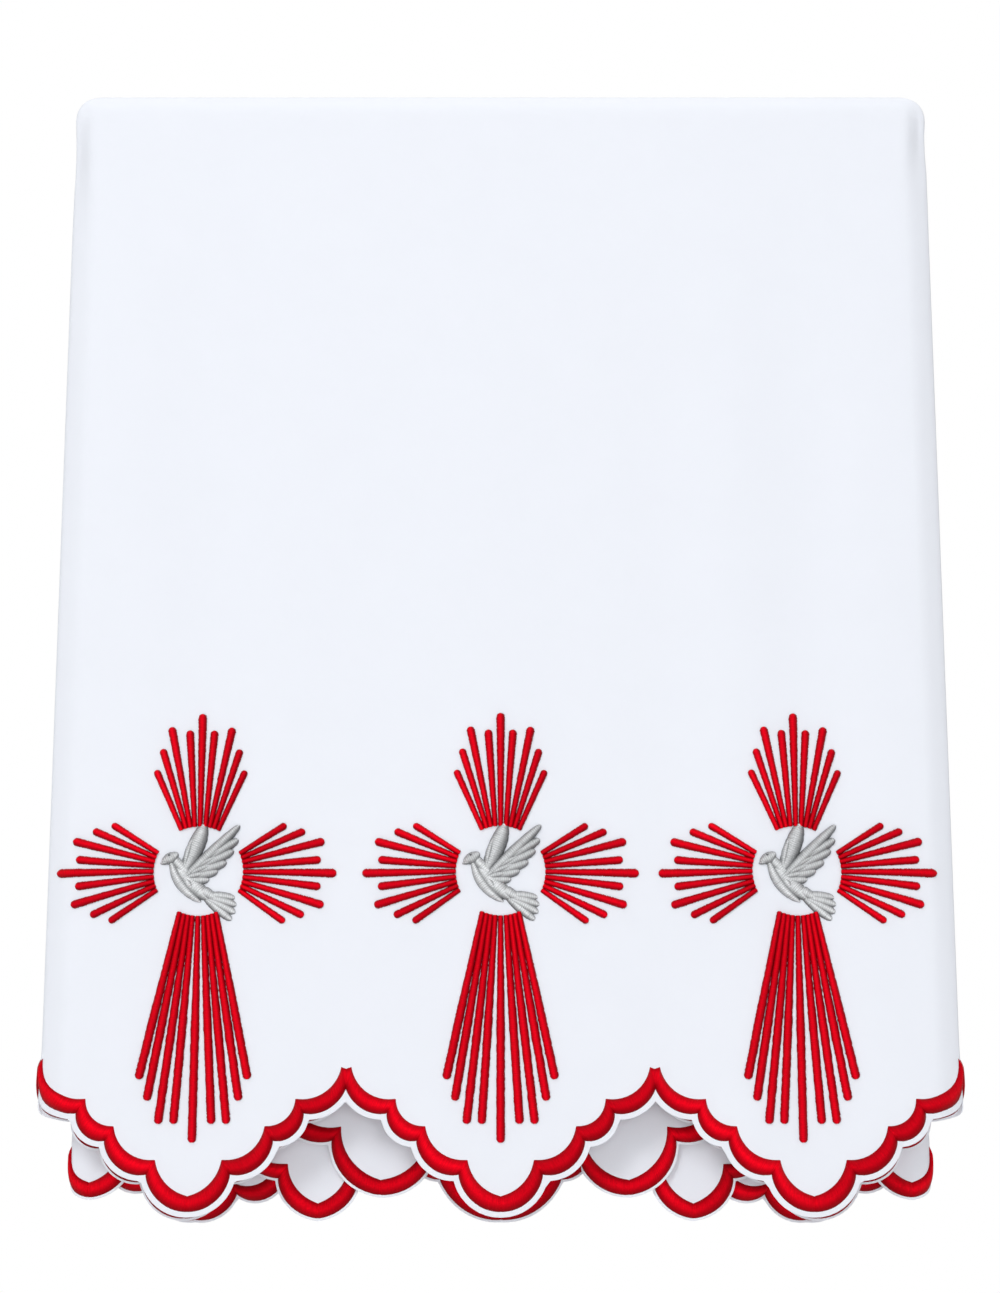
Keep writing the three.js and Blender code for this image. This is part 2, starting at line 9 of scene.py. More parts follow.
import bpy
import numpy as np
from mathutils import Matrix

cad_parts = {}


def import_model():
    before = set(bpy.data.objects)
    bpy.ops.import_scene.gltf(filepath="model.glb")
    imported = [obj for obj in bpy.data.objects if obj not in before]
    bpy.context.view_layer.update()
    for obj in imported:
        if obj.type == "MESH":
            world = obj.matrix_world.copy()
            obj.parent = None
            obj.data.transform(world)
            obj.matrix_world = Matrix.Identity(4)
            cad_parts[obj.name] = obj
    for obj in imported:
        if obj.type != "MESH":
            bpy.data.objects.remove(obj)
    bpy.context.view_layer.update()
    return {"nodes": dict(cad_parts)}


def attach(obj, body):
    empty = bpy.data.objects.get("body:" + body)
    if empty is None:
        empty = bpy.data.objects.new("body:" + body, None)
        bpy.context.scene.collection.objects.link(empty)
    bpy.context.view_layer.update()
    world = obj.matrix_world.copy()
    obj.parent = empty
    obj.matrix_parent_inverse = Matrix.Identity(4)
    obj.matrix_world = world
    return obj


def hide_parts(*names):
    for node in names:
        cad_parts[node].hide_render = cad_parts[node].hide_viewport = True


Array = np.ndarray
Material = bpy.types.Material
Piece = bpy.types.Object
Triple = tuple[float, float, float]

LOG = logging.getLogger("altar_cloth")
MM = 0.001
BODY = "root"
# Diagonal, as x and z, along which satin threads get a painted highlight.
PAINTED_SHEEN_DIAGONAL = (0.707, 0.707)
CROSS_CENTRES = {"left": -153.6, "middle": 0.0, "right": 150.5}


class Half(Enum):
    """The two halves of the hanging cloth."""

    FRONT = "front"
    REAR = "rear"


class Turn(Enum):
    """What a hem's edge does at the end of a scallop: the upper edge's offset along and up, mm."""

    HIGH = (0.0, 11.6)
    DOWN = (4.8, 7.8)
    LOW = (0.0, 8.0)
    UP = (-4.8, 7.8)

    def mirrored(self) -> "Turn":
        """The same turn met from the other side."""
        return {Turn.DOWN: Turn.UP, Turn.UP: Turn.DOWN}.get(self, self)


def smooth(t: float | Array) -> float | Array:
    """Smooth step: 3t^2 - 2t^3 with t held between 0 and 1."""
    t = np.clip(t, 0.0, 1.0)
    return t * t * (3 - 2 * t)


@dataclass(frozen=True)
class Slack:
    """A size that is tight over the top fold and loose further down, mm."""

    tight: float
    loose: float

    def at(self, share: Array) -> Array:
        """The size at a share from tight, 0, to loose, 1."""
        return self.tight + (self.loose - self.tight) * share


@dataclass(frozen=True)
class Crease:
    """A soft trough, or a ridge where its height is negative, that runs down the cloth, in mm."""

    x: float
    lean: float
    width: float
    height: float
    top: float
    bottom: float
    fade_in: float = 4.0
    fade_out: float = 3.0
    faded_at: float = 1.15

    def relief(self, x: Array, drop: Array) -> Array:
        """A bell across the leaning line, times a smooth step in at its top and out at its end.

        Args:
            x: distance from the middle.
            drop: depth below the top fold.

        Returns:
            How far the crease moves the cloth along +Y, mm.
        """
        run = (drop - self.top) / (self.bottom - self.top)
        line = self.x + self.lean * run
        fade = smooth(run * self.fade_in) * smooth((self.faded_at - run) * self.fade_out)
        return self.height * fade * np.exp(-(((x - line) / self.width) ** 2))


@dataclass(frozen=True)
class Pinch:
    """A hollow in a top corner, sizes in mm; its side is 1 on the right and -1 on the left."""

    side: float
    start: float
    depth: float
    z: float
    reach: float
    width: float = 8.0


@dataclass
class FoldedCloth:
    """The folded and hung shape of the cloth, on the same named sizes as its solid, in mm.

    A place on it is u, the length along the folded section from the middle of the front or
    rear panel, and v, the length along the hang: below 0 in front, then over the top fold.
    """

    thickness: float = 0.7
    solid_thickness: float = 1.2
    front_half_width: float = 230.8
    rear_half_width: float = 216.5
    crown_radius: float = 18.0
    crown_centre_z: float = -13.2
    middle_layer: Slack = Slack(1.8, 4.6)
    inner_layer: Slack = Slack(3.6, 9.0)
    side_reach: Slack = Slack(3.5, 12.0)
    end_reach: Slack = Slack(0.9, 3.0)
    loose_below: float = 60.0
    end_fold_front: float = 61.0
    end_fold_rear: float = 36.0
    free_edge_front: float = 150.0
    free_edge_rear: float = 135.0
    right_rear_flap_short_by: float = 5.0
    side_arc: float = 27.3
    end_arc: float = 8.2
    corner_start: float = -2.0
    corner_length: float = 26.3
    corner_power: float = 2.23
    flare: float = 1.6
    flare_start: float = 490.0
    flare_length: float = 60.0
    waves_start: float = 40.0
    waves_grow_over: float = 420.0
    # Height, length and sideways shift of each wave.
    waves: tuple[Triple, ...] = ((0.7, 231.0, 35.0), (0.2, 154.0, 10.0))
    creases: tuple[Crease, ...] = (
        Crease(-196.0, 6.0, 20.0, -1.1, 20.0, 560.0),
        Crease(-150.0, 4.0, 24.0, 3.2, 20.0, 560.0),
        Crease(-74.0, -5.0, 30.0, 1.1, 60.0, 560.0),
        Crease(-12.0, 6.0, 26.0, -0.75, 40.0, 420.0),
        Crease(84.0, 8.0, 20.0, 1.7, 50.0, 560.0),
        Crease(128.0, -4.0, 22.0, -0.85, 40.0, 520.0),
        Crease(160.0, -3.0, 26.0, 2.4, 30.0, 560.0),
        Crease(199.0, -5.0, 20.0, -1.1, 20.0, 560.0),
    )
    flank_start: float = 216.0
    flank_width: float = 14.0
    flank_depth: float = 3.0
    flanks_end: float = -10.0
    flanks_fade_over: float = 30.0
    corner_pinches: tuple[Pinch, ...] = (
        Pinch(1.0, 220.0, 5.2, -25.0, 14.0), Pinch(-1.0, 221.0, 5.2, -34.0, 20.0),
    )
    normal_step: float = 0.02

    @property
    def crown_length(self) -> float:
        """Length of the half turn over the top."""
        return math.pi * self.crown_radius

    @property
    def panel_end(self) -> float:
        """Where the flat panel ends and the side fold starts."""
        return self.front_half_width - self.side_reach.loose

    @property
    def flap_start(self) -> float:
        """Where the side fold ends and the flap starts."""
        return self.panel_end + self.side_arc

    @property
    def flap_end(self) -> float:
        """Where the flap ends and its own fold starts."""
        return self.flap_start + self.panel_end - self.end_fold_front - self.end_reach.loose

    @property
    def return_start(self) -> float:
        """Where the flap's fold ends and its return starts."""
        return self.flap_end + self.end_arc

    @property
    def return_end(self) -> float:
        """The free edge of the cloth."""
        return self.return_start + self.free_edge_front - self.end_fold_front - self.end_reach.loose

    def drop(self, v: Array) -> Array:
        """Depth below the centre of the top fold: -v in front, v less the crown behind."""
        return np.where(v < 0, -v, np.maximum(0.0, v - self.crown_length))

    def v_of(self, z: Array, half: Half) -> Array:
        """The length along the hang: z less the crown's, or the crown's length less that, behind."""
        v = z - self.crown_centre_z
        return v if half is Half.FRONT else self.crown_length - v

    def looseness(self, v: Array) -> Array:
        """How far the plies have loosened at a length along the hang: a smooth step."""
        return smooth(self.drop(v) / self.loose_below)

    def panel(self, v: Array) -> Array:
        """Half the flat panel's width: half the folded width less the side fold's reach."""
        return self.half_width(v) - self.side_reach.at(self.looseness(v))

    def half_width(self, v: Array) -> Array:
        """Half the folded width: front to rear by a power curve over the top, plus the hem's flare.

        Args:
            v: length along the hang.

        Returns:
            The half width in mm.
        """
        over = np.clip((v - self.corner_start) / self.corner_length, 0, 1) ** self.corner_power
        width = self.front_half_width + (self.rear_half_width - self.front_half_width) * over
        return width + self.flare * smooth((self.drop(v) - self.flare_start) / self.flare_length)

    def section(self, u: Array, v: Array) -> tuple[Array, Array]:
        """Distance from the middle and depth behind the outer layer.

        The panel and flaps are straight and the folds between them are half ellipses.

        Args:
            u: length along the section, from the middle.
            v: length along the hang.

        Returns:
            x and depth, in mm.
        """
        side, along = np.where(u < 0, -1.0, 1.0), np.abs(u)
        loose, rear = self.looseness(v), smooth(v / self.crown_length)
        inner, middle = self.inner_layer.at(loose), self.middle_layer.at(loose)
        reach, end_reach = self.side_reach.at(loose), self.end_reach.at(loose)
        panel = self.half_width(v) - reach
        short = np.where(u > 0, self.right_rear_flap_short_by * rear, 0.0)
        end_fold = short + self.end_fold_front + (self.end_fold_rear - self.end_fold_front) * rear
        flap_end = end_fold + end_reach
        free_edge = short + self.free_edge_front + (self.free_edge_rear - self.free_edge_front) * rear
        turn = np.pi * np.clip((along - self.panel_end) / self.side_arc, 0, 1)
        end_turn = np.pi * np.clip((along - self.flap_end) / self.end_arc, 0, 1)
        flap = np.clip((along - self.flap_start) / (self.flap_end - self.flap_start), 0, 1)
        back = np.clip((along - self.return_start) / (self.return_end - self.return_start), 0, 1)
        where = [along <= self.panel_end, along < self.flap_start, along <= self.flap_end,
                 along < self.return_start]
        across = [panel * along / self.panel_end, panel + reach * np.sin(turn),
                  panel + (flap_end - panel) * flap, flap_end - end_reach * np.sin(end_turn)]
        x = np.select(where, across, flap_end + (free_edge - flap_end) * back)
        depth = np.select(where, [0 * inner, inner * (1 - np.cos(turn)) / 2, inner + 0 * turn,
                                  middle + (inner - middle) * (1 + np.cos(end_turn)) / 2], middle)
        return side * x, depth

    def relief(self, x: Array, v: Array) -> Array:
        """How far the waves, creases, flanks and pinches move the cloth along +Y.

        Waves are sines across the cloth that grow down it. The flanks of the front fall back
        towards the side folds by a smooth step, and a pinch is such a step times a bell in height.

        Args:
            x: distance from the middle.
            v: length along the hang.

        Returns:
            The move in mm.
        """
        drop = self.drop(v)
        total = smooth((drop - self.waves_start) / self.waves_grow_over) * sum(
            height * np.sin(2 * np.pi * (x + shift) / length) for height, length, shift in self.waves)
        for crease in self.creases:
            total = total + crease.relief(x, drop)
        front = 1 - smooth((v - self.flanks_end) / self.flanks_fade_over)
        away = np.abs(x)
        total = total + self.flank_depth * front * smooth((away - self.flank_start) / self.flank_width)
        for pinch in self.corner_pinches:
            bell = np.exp(-(((drop + pinch.z - self.crown_centre_z) / pinch.reach) ** 2))
            beyond = smooth((pinch.side * x - pinch.start) / pinch.width)
            total = total + pinch.depth * front * bell * beyond
        return total

    def surface(self, u: Array, v: Array) -> Array:
        """Points of the cloth's middle surface: the section carried down, over and down.

        Over the top y and z follow the cosine and sine of a half turn, on a radius less the depth.

        Args:
            u: length along the section.
            v: length along the hang.

        Returns:
            Points in mm.
        """
        x, depth = self.section(u, v)
        radius = self.crown_radius - self.solid_thickness / 2 - depth
        turn = np.clip(v / self.crown_length, 0, 1) * np.pi
        y = -radius * np.cos(turn) + self.relief(x, v)
        z = self.crown_centre_z - self.drop(v) + radius * np.sin(turn)
        return np.stack(np.broadcast_arrays(x, y, z), axis=-1)

    def off(self, u: Array, v: Array, distance: Array) -> Array:
        """Points at a distance from the middle surface along its normal.

        The normal is the cross product of the differences across and along the cloth.

        Args:
            u: length along the section.
            v: length along the hang.
            distance: how far out, in mm.

        Returns:
            Points in mm.
        """
        step = self.normal_step
        across = self.surface(u + step, v) - self.surface(u - step, v)
        down = self.surface(u, v + step) - self.surface(u, v - step)
        normal = np.cross(across, down)
        normal /= np.linalg.norm(normal, axis=-1, keepdims=True)
        return self.surface(u, v) + normal * np.asarray(distance)[..., None]

    def on_front(self, x: Array, z: Array) -> tuple[Array, Array]:
        """u and v of a place on the front: x times the panel's length over its width there, and v."""
        v = self.v_of(z, Half.FRONT)
        return x * self.panel_end / self.panel(v), v


@dataclass(frozen=True)
class HemTurn:
    """One turn of a hem's lower edge, and the radius of the scallop that ends there, mm."""

    along: float
    z: float
    turn: Turn
    radius: float


@dataclass
class HemLine:
    """A scalloped hem from one free edge to the other, as circle arcs between its turns, in mm."""

    turns: list[HemTurn]
    peak_half_width: float = 2.6
    peak_dip: float = 0.7
    least_rise: float = 0.01
    least_step: float = 1e-4

    def __post_init__(self) -> None:
        """Mirrors the turns and finds where each scallop of both edges starts and ends."""
        radii = [t.radius for t in self.turns[1:]]
        left = [HemTurn(-t.along, t.z, t.turn.mirrored(), 0.0) for t in self.turns[:0:-1]]
        rows = left + self.turns
        self.radii = np.array(radii[::-1] + radii)
        last = len(rows) - 1
        self.outer = np.array([(t.along, t.z) for t in rows])
        inner = np.array([
            (t.along + (t.turn.value[0] if 0 < i < last else 0.0), t.z + t.turn.value[1])
            for i, t in enumerate(rows)])
        peak = np.array([self.peak_half_width if t.turn is Turn.HIGH else 0.0 for t in rows])
        shift = np.stack([peak, 0 * peak], axis=1)
        self.inner_starts, self.inner_ends = (inner + shift)[:-1], (inner - shift)[1:]

    def arcs(self, starts: Array, ends: Array) -> tuple[Array, ...]:
        """The arcs that hang between two rows of points.

        A centre lies above the chord's middle by the root of the radius squared less a quarter of
        the chord squared.

        Args:
            starts: where each arc starts.
            ends: where each arc ends.

        Returns:
            Centres, radii, start angles and sweeps.
        """
        chord = ends - starts
        length = np.linalg.norm(chord, axis=1)
        radius = np.maximum(self.radii, length / 2 + self.least_rise)
        rise = np.sqrt(radius ** 2 - length ** 2 / 4)
        up = np.stack([-chord[:, 1], chord[:, 0]], axis=1) / length[:, None]
        centre = (starts + ends) / 2 + up * rise[:, None]
        from_, to = starts - centre, ends - centre
        start = np.arctan2(from_[:, 1], from_[:, 0])
        sweep = np.mod(np.arctan2(to[:, 1], to[:, 0]) - start, 2 * np.pi)
        return centre, radius, start, sweep

    def trace(self, starts: Array, ends: Array, per_arc: int) -> Array:
        """Points along each arc, close at both ends, then one more half way to the next arc.

        The extra point lies a dip below the two ends that it parts, so that a peak has two horns.

        Args:
            starts: where each arc starts.
            ends: where each arc ends.
            per_arc: points on an arc.

        Returns:
            The line's points, always further along.
        """
        centre, radius, start, sweep = self.arcs(starts, ends)
        share = (1 - np.cos(np.pi * np.linspace(0, 1, per_arc))) / 2
        angle = start[:, None] + sweep[:, None] * share
        ring = np.stack([np.cos(angle), np.sin(angle)], axis=-1) * radius[:, None, None]
        after = np.concatenate([starts[1:], ends[-1:]])
        parted = np.linalg.norm(after - ends, axis=1)[:, None] / (2 * self.peak_half_width)
        middle = (ends + after) / 2 - np.array([0.0, self.peak_dip]) * parted
        line = np.concatenate([centre[:, None] + ring, middle[:, None]], axis=1).reshape(-1, 2)
        line[:, 0] = np.maximum.accumulate(line[:, 0] + np.arange(len(line)) * self.least_step)
        return line

    def rim(self, u: Array, margin: Array) -> Array:
        """Height of the cloth's edge, a margin outside the border's lower edge.

        It is the lowest of the arcs' circles, each grown by the margin, over the stretch that
        the arc covers.

        Args:
            u: places along the section.
            margin: the margin at each place.

        Returns:
            Heights in mm.
        """
        centre, radius, _, _ = self.arcs(self.outer[:-1], self.outer[1:])
        margin = margin[:, None]
        low, high = self.outer[:-1, 0] - margin, self.outer[1:, 0] + margin
        inside = (radius + margin) ** 2 - (u[:, None] - centre[None, :, 0]) ** 2
        covered = (inside > 0) & (u[:, None] >= low) & (u[:, None] <= high)
        z = centre[None, :, 1] - np.sqrt(np.maximum(inside, 0.0))
        return np.where(covered, z, np.inf).min(axis=1)


@dataclass
class Hems:
    """The front and rear hems of the folded cloth, sizes in mm."""

    cloth: FoldedCloth
    repeat: float = 154.0
    flap_drop: float = 3.5
    flap_drops_over: float = 25.0
    corner_rise: float = 4.5
    corner_reach: float = 10.0
    tucked_rise: float = 45.0
    tucked_before: float = 8.0
    tucked_over: float = 50.0
    last_gap: float = 4.0
    last_rise: float = 3.0
    last_radius: float = 30.0
    # Length along the half repeat, height, turn, and radius of the scallop that ends there.
    half_repeat: tuple[tuple[float, float, Turn, float], ...] = (
        (0.0, -532.1, Turn.HIGH, 0.0),
        (20.3, -543.9, Turn.DOWN, 19.2),
        (35.1, -557.3, Turn.DOWN, 13.5),
        (56.0, -573.7, Turn.DOWN, 18.6),
        (77.0, -591.5, Turn.LOW, 20.9),
    )
    # Ply, distance from the middle, height, turn and radius.
    rear_rows: tuple[tuple[str, float, float, Turn, float], ...] = (
        ("panel", 0.0, -596.5, Turn.LOW, 0.0),
        ("panel", 31.0, -576.5, Turn.UP, 34.0),
        ("panel", 46.0, -563.0, Turn.UP, 16.0),
        ("panel", 58.0, -549.0, Turn.UP, 13.5),
        ("panel", 77.0, -537.0, Turn.HIGH, 19.2),
        ("panel", 95.0, -553.0, Turn.DOWN, 19.2),
        ("panel", 108.0, -572.0, Turn.DOWN, 18.0),
        ("panel", 133.0, -584.0, Turn.DOWN, 17.0),
        ("panel", 154.0, -596.5, Turn.LOW, 20.9),
        ("panel", 176.0, -580.0, Turn.UP, 20.9),
        ("panel", 198.0, -573.5, Turn.UP, 17.0),
        ("side_fold", 216.5, -571.0, Turn.HIGH, 19.0),
        ("flap", 206.0, -585.2, Turn.LOW, 15.0),
        ("flap", 186.0, -569.0, Turn.UP, 21.0),
        ("flap", 168.0, -553.0, Turn.UP, 18.6),
        ("flap", 141.0, -536.0, Turn.HIGH, 24.0),
        ("flap", 112.0, -542.0, Turn.DOWN, 24.0),
        ("flap", 85.5, -557.3, Turn.DOWN, 20.0),
        ("flap", 60.5, -584.0, Turn.LOW, 26.0),
        ("end_fold", 36.0, -566.0, Turn.HIGH, 24.0),
        ("return", 72.0, -576.0, Turn.DOWN, 24.0),
        ("return", 92.5, -595.7, Turn.LOW, 20.9),
        ("return", 113.2, -575.9, Turn.UP, 20.9),
        ("return", 135.0, -556.0, Turn.UP, 22.0),
    )

    def front(self) -> HemLine:
        """The repeating front hem, lower on the flaps and drawn up where it is tucked in.

        Past the side fold a smooth step lowers it, a bell lifts it at the fold, and a second step
        lifts it towards the free edge.

        Returns:
            The hem's line.
        """
        cloth, down = self.cloth, self.half_repeat
        rows = [(0.0, down[-1][1], Turn.LOW, 0.0)]
        start = 0.0
        while start < cloth.return_end:
            middle = start + self.repeat / 2
            for i in range(len(down) - 2, -1, -1):
                turn = Turn.HIGH if i == 0 else Turn.UP
                rows.append((middle - down[i][0], down[i][1], turn, down[i + 1][3]))
            rows += [(middle + along, z, turn, radius) for along, z, turn, radius in down[1:]]
            start += self.repeat
        hung = []
        for along, z, turn, radius in rows:
            if along < cloth.return_end - self.last_gap:
                past_corner = along - cloth.panel_end - cloth.side_arc / 2
                tucked = (along - cloth.flap_end + self.tucked_before) / self.tucked_over
                z -= self.flap_drop * smooth(past_corner / self.flap_drops_over)
                z += self.corner_rise * math.exp(-((past_corner / self.corner_reach) ** 2))
                z += self.tucked_rise * smooth(tucked)
                hung.append(HemTurn(along, z, turn, radius))
        hung.append(HemTurn(cloth.return_end, hung[-1].z + self.last_rise, Turn.UP, self.last_radius))
        return HemLine(hung)

    def rear(self) -> HemLine:
        """The rear hem: round the panel, the side fold, the flap and its return.

        Each distance from the middle is carried to a length along the section by proportion.

        Returns:
            The hem's line.
        """
        cloth = self.cloth
        panel = cloth.rear_half_width - cloth.side_reach.loose
        flap_end = cloth.end_fold_rear + cloth.end_reach.loose
        flap = (cloth.flap_end - cloth.flap_start) / (panel - flap_end)
        back = (cloth.return_end - cloth.return_start) / (cloth.free_edge_rear - flap_end)
        spans = {
            "panel": lambda x: x * cloth.panel_end / panel,
            "side_fold": lambda x: cloth.panel_end + cloth.side_arc / 2,
            "end_fold": lambda x: cloth.flap_end + cloth.end_arc / 2,
            "flap": lambda x: cloth.flap_start + flap * (panel - x),
            "return": lambda x: cloth.return_start + back * (x - flap_end),
        }
        return HemLine([HemTurn(spans[ply](x), z, turn, radius)
                        for ply, x, z, turn, radius in self.rear_rows])


def operator(operation: str, order: int = 1) -> Callable[["Sock", object], "Sock"]:
    """A method that adds a Math node on its two values, in reverse where the order is -1."""
    return lambda this, other: this.math(operation, *(this, other)[::order])


class Sock:
    """A shader value that turns arithmetic into Math nodes."""

    def __init__(self, tree: "Shader", socket: bpy.types.NodeSocket) -> None:
        """Keeps the tree and the output socket."""
        self.tree, self.socket = tree, socket

    def math(self, operation: str, *values: object) -> "Sock":
        """A Math node of the operation on the values."""
        return self.tree.node("ShaderNodeMath", {"operation": operation}, dict(enumerate(values)))

    __add__, __radd__ = operator("ADD"), operator("ADD", -1)
    __sub__, __rsub__ = operator("SUBTRACT"), operator("SUBTRACT", -1)
    __mul__, __rmul__ = operator("MULTIPLY"), operator("MULTIPLY", -1)
    __pow__, __rpow__ = operator("POWER"), operator("POWER", -1)

    def sine(self) -> "Sock":
        """Sine of the value in radians."""
        return self.math("SINE", self)

    def size(self) -> "Sock":
        """Absolute value."""
        return self.math("ABSOLUTE", self)

    def part(self, number: int) -> "Sock":
        """Another output of the same node."""
        return Sock(self.tree, self.socket.node.outputs[number])


class Shader:
    """The node tree of a material or the world, with one method that adds every kind of node."""

    def __init__(self, owner: Material | bpy.types.World) -> None:
        """Empties the owner's tree.

        Args:
            owner: the material or world.
        """
        owner.use_nodes = True
        self.owner, self.tree = owner, owner.node_tree
        self.tree.nodes.clear()

    def node(self, kind: str, settings: dict[str, object], inputs: dict[object, object],
             output: int | str = 0) -> Sock:
        """Adds a node, sets it, then fills or links its sockets.

        Args:
            kind: the node's type.
            settings: properties set before the sockets.
            inputs: socket name or number to a value or another socket.
            output: the output that is returned.

        Returns:
            The output socket, wrapped.
        """
        made = self.tree.nodes.new(kind)
        for key, value in settings.items():
            setattr(made, key, value)
        for key, value in inputs.items():
            if isinstance(value, Sock):
                self.tree.links.new(value.socket, made.inputs[key])
            else:
                made.inputs[key].default_value = value
        return Sock(self, made.outputs[output] if made.outputs else None)

    def attribute(self, name: str, output: str = "Vector") -> Sock:
        """A value that the mesh carries."""
        return self.node("ShaderNodeAttribute", {"attribute_name": name}, {}, output)

    def noise(self, place: Sock, scale: float, detail: float) -> Sock:
        """Noise at a place, 0 to 1."""
        return self.node("ShaderNodeTexNoise", {},
                         {"Vector": place, "Scale": scale, "Detail": detail}, "Fac")

    def mix(self, factor: Sock, first: tuple[float, ...], second: tuple[float, ...]) -> Sock:
        """A colour between two colours."""
        return self.node("ShaderNodeMix", {"data_type": "RGBA"},
                         {0: factor, 6: (*first, 1.0), 7: (*second, 1.0)}, 2)

    def bump(self, strength: float, depth: float, height: Sock) -> Sock:
        """A bumped normal; the depth is in metres."""
        return self.node("ShaderNodeBump", {},
                         {"Strength": strength, "Distance": depth, "Height": height})

    def step(self, value: Sock, start: float, end: float, low: float = 0.0) -> Sock:
        """A smooth step from low at the start to 1 at the end."""
        return self.node("ShaderNodeMapRange", {"interpolation_type": "SMOOTHSTEP"},
                         {"Value": value, "From Min": start, "From Max": end, "To Min": low})

    def finish(self, inputs: dict[object, object]) -> Material:
        """Ends a material's tree with a Principled node and the output.

        Args:
            inputs: the Principled node's sockets, by name.

        Returns:
            The material.
        """
        skin = self.node("ShaderNodeBsdfPrincipled", {}, inputs)
        self.node("ShaderNodeOutputMaterial", {}, {"Surface": skin})
        return self.owner


@dataclass(frozen=True)
class WovenFinish:
    """Smooth white plain-weave cloth; its thread lies on the weave attribute, in mm."""

    name: str = "white_woven_cloth"
    colour: Triple = (0.80, 0.825, 0.885)
    shade: Triple = (0.775, 0.80, 0.858)
    roughness: float = 0.82
    thread_pitch: float = 0.55
    bump: float = 0.12
    bump_depth: float = 0.0001
    patch_scale: float = 0.035
    patch_detail: float = 3.0
    patch_share: float = 0.6
    slub_scale: float = 1.6
    slub_detail: float = 2.0
    slub_height: float = 0.6
    weave_height: float = 0.5
    sheen: float = 0.15
    specular: float = 0.25

    def material(self) -> Material:
        """Builds the material: the product of two crossing sines, made uneven by noise.

        Returns:
            The new material.
        """
        tree = Shader(bpy.data.materials.new(self.name))
        place = tree.attribute("weave")
        across = tree.node("ShaderNodeSeparateXYZ", {}, {0: place})
        turn = 2 * math.pi / self.thread_pitch
        weave = (across * turn).sine() * (across.part(1) * turn).sine()
        patch = tree.noise(place, self.patch_scale, self.patch_detail)
        slub = tree.noise(place, self.slub_scale, self.slub_detail)
        height = weave * self.weave_height + slub * self.slub_height
        bump = tree.bump(self.bump, self.bump_depth, height)
        light = patch * self.patch_share + slub * (1.0 - self.patch_share)
        colour = tree.mix(light, self.shade, self.colour)
        return tree.finish({"Base Color": colour, "Roughness": self.roughness, "Normal": bump,
                            "Sheen Weight": self.sheen, "Specular IOR Level": self.specular})


@dataclass(frozen=True)
class SatinFinish:
    """Satin stitch on the stitch attribute: mm along the strip, mm across it and share across it. Its
    colour carries painted shade on the edges and the lower side, and a painted highlight.
    """

    name: str
    colour: Triple
    shade: Triple
    glint: Triple
    roughness: float = 0.34
    metal: float = 0.3
    thread_pitch: float = 0.42
    bump: float = 0.6
    bump_depth: float = 0.0002
    # Painted shade and highlight: the next fields darken the colour at the edges and on the lower
    # side, away from the light, and scale a highlight painted along one diagonal.
    edge_shade_power: float = 2.2
    edge_shade_depth: float = 0.72
    lower_shade: float = 0.62
    lower_shade_starts: float = -0.2
    sheen: float = 0.5
    body: float = 0.31
    stretch: Triple = (2.2, 0.18, 0.0)
    uneven_detail: float = 2.0
    wander: float = 0.5
    thread_height: float = 0.6
    uneven_height: float = 0.9
    thread_light: float = 0.2
    uneven_light: float = 0.5
    uneven_roughness: float = 0.14
    specular: float = 0.7

    def material(self) -> Material:
        """Builds the material.

        A sine along the strip parts the threads and stretched noise makes them uneven. A power of
        the share across paints shade into the colour at the edges, where the threads dive into the
        cloth, and more painted shade goes on the lower side, away from the light. The sheen attribute
        paints a highlight on threads that lie along one diagonal, as satin glints under light from
        the upper left.

        Returns:
            The new material.
        """
        tree = Shader(bpy.data.materials.new(self.name))
        place = tree.attribute("stitch")
        along = tree.node("ShaderNodeSeparateXYZ", {}, {0: place})
        share = along.part(2)
        drawn = tree.node("ShaderNodeVectorMath", {"operation": "MULTIPLY"},
                          {0: place, 1: self.stretch})
        uneven = tree.noise(drawn, 1.0, self.uneven_detail)
        turns = (along + uneven * self.wander) * (2 * math.pi / self.thread_pitch)
        thread = turns.sine() * 0.5 + 0.5
        edge_shade = share.size() ** self.edge_shade_power
        lower = tree.step(share, self.lower_shade_starts, 1.0)
        height = thread * self.thread_height + uneven * self.uneven_height
        bump = tree.bump(self.bump, self.bump_depth, height)
        # Painted highlight on threads along one diagonal, then painted shade on the edges and lower
        # side, over the threads' own uneven tone.
        painted_sheen = tree.attribute("sheen", "Fac") * self.sheen + (1.0 - self.sheen * 0.5)
        body = (thread * self.thread_light + uneven * self.uneven_light + self.body) * painted_sheen
        lit = body * (1.0 - edge_shade * self.edge_shade_depth) * (1.0 - lower * self.lower_shade)
        return tree.finish({"Base Color": tree.mix(lit, self.shade, self.colour),
                            "Metallic": self.metal, "Normal": bump,
                            "Roughness": self.roughness + uneven * self.uneven_roughness,
                            "Specular Tint": (*self.glint, 1.0),
                            "Specular IOR Level": self.specular})


